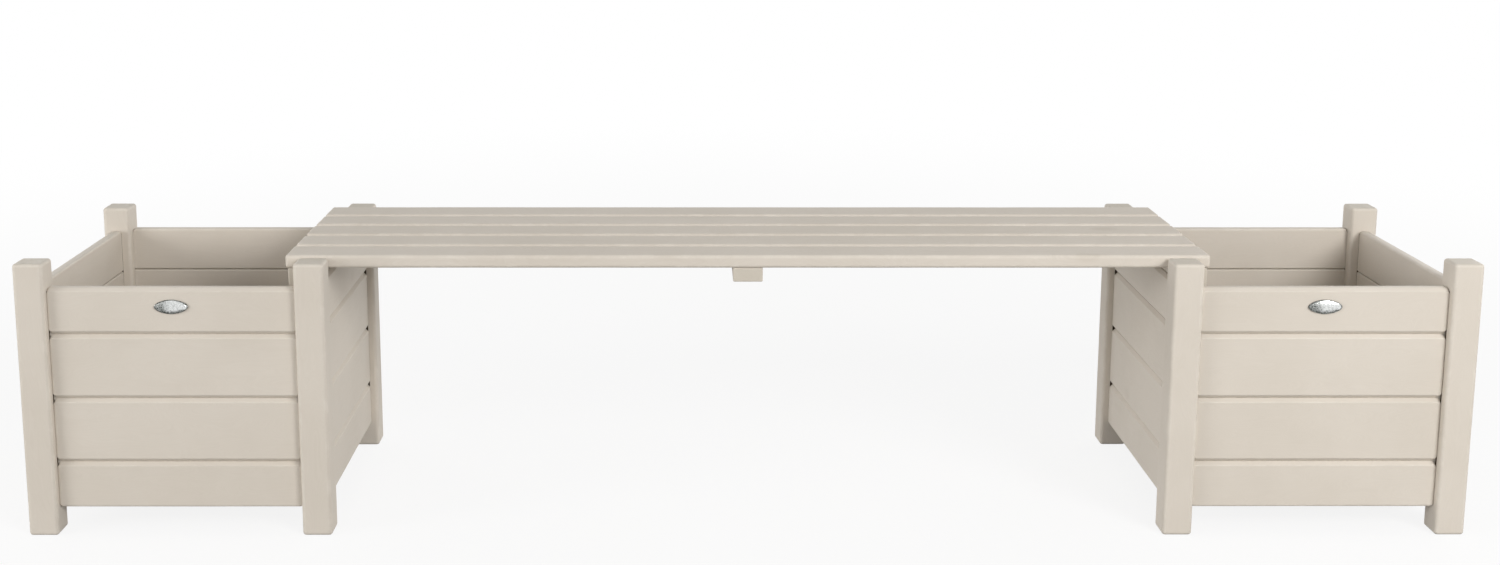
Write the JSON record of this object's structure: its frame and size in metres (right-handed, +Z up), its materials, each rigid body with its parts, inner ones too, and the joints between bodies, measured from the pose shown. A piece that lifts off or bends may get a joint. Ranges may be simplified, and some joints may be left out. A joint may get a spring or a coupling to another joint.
{
  "type": "bench with planters",
  "caption": "Low wooden garden bench: a slatted seat that lifts off, resting between two square boarded planter boxes with corner posts.",
  "frame": {"origin": "on the ground, under the middle of the bench", "axes": "+X along the bench, to the right when its front with the oval plates is seen; +Y from front to back; +Z up"},
  "size_m": [1.85, 0.39, 0.3611],
  "materials": {
    "painted_wood": "satin opaque paint in a warm greige, grain and V joints showing through faintly",
    "seat_painted_wood": "satin opaque paint in a warm greige, a little smoother on the slat tops",
    "plate_metal": "bright hammered metal"
  },
  "bodies": {
    "planters": {"left_box_front_outer_post": "painted_wood", "left_box_front_inner_post": "painted_wood", "left_box_back_inner_post": "painted_wood", "left_box_back_outer_post": "painted_wood", "left_box_front_board_1": "painted_wood", "left_box_front_board_2": "painted_wood", "left_box_front_board_3": "painted_wood", "left_box_front_board_4": "painted_wood", "left_box_inner_board_1": "painted_wood", "left_box_inner_board_2": "painted_wood", "left_box_inner_board_3": "painted_wood", "left_box_inner_board_4": "painted_wood", "left_box_back_board_1": "painted_wood", "left_box_back_board_2": "painted_wood", "left_box_back_board_3": "painted_wood", "left_box_back_board_4": "painted_wood", "left_box_outer_board_1": "painted_wood", "left_box_outer_board_2": "painted_wood", "left_box_outer_board_3": "painted_wood", "left_box_outer_board_4": "painted_wood", "left_box_inner_cleat": "painted_wood", "left_box_outer_cleat": "painted_wood", "left_box_floor_slat_1": "painted_wood", "left_box_floor_slat_2": "painted_wood", "left_box_floor_slat_3": "painted_wood", "left_box_oval_plate": "plate_metal", "right_box_front_outer_post": "painted_wood", "right_box_front_inner_post": "painted_wood", "right_box_back_inner_post": "painted_wood", "right_box_back_outer_post": "painted_wood", "right_box_front_board_1": "painted_wood", "right_box_front_board_2": "painted_wood", "right_box_front_board_3": "painted_wood", "right_box_front_board_4": "painted_wood", "right_box_inner_board_1": "painted_wood", "right_box_inner_board_2": "painted_wood", "right_box_inner_board_3": "painted_wood", "right_box_inner_board_4": "painted_wood", "right_box_back_board_1": "painted_wood", "right_box_back_board_2": "painted_wood", "right_box_back_board_3": "painted_wood", "right_box_back_board_4": "painted_wood", "right_box_outer_board_1": "painted_wood", "right_box_outer_board_2": "painted_wood", "right_box_outer_board_3": "painted_wood", "right_box_outer_board_4": "painted_wood", "right_box_inner_cleat": "painted_wood", "right_box_outer_cleat": "painted_wood", "right_box_floor_slat_1": "painted_wood", "right_box_floor_slat_2": "painted_wood", "right_box_floor_slat_3": "painted_wood", "right_box_oval_plate": "plate_metal"},
    "seat": {"seat_slat_1": "seat_painted_wood", "seat_slat_2": "seat_painted_wood", "seat_slat_3": "seat_painted_wood", "seat_slat_4": "seat_painted_wood", "seat_slat_5": "seat_painted_wood", "seat_middle_batten": "seat_painted_wood", "seat_left_batten": "seat_painted_wood", "seat_right_batten": "seat_painted_wood"}
  },
  "joints": [
    {"name": "seat_lift", "type": "slide", "parent": "planters", "child": "seat", "axis": [0, 0, 1], "range_m": [0, 0.25]}
  ]
}
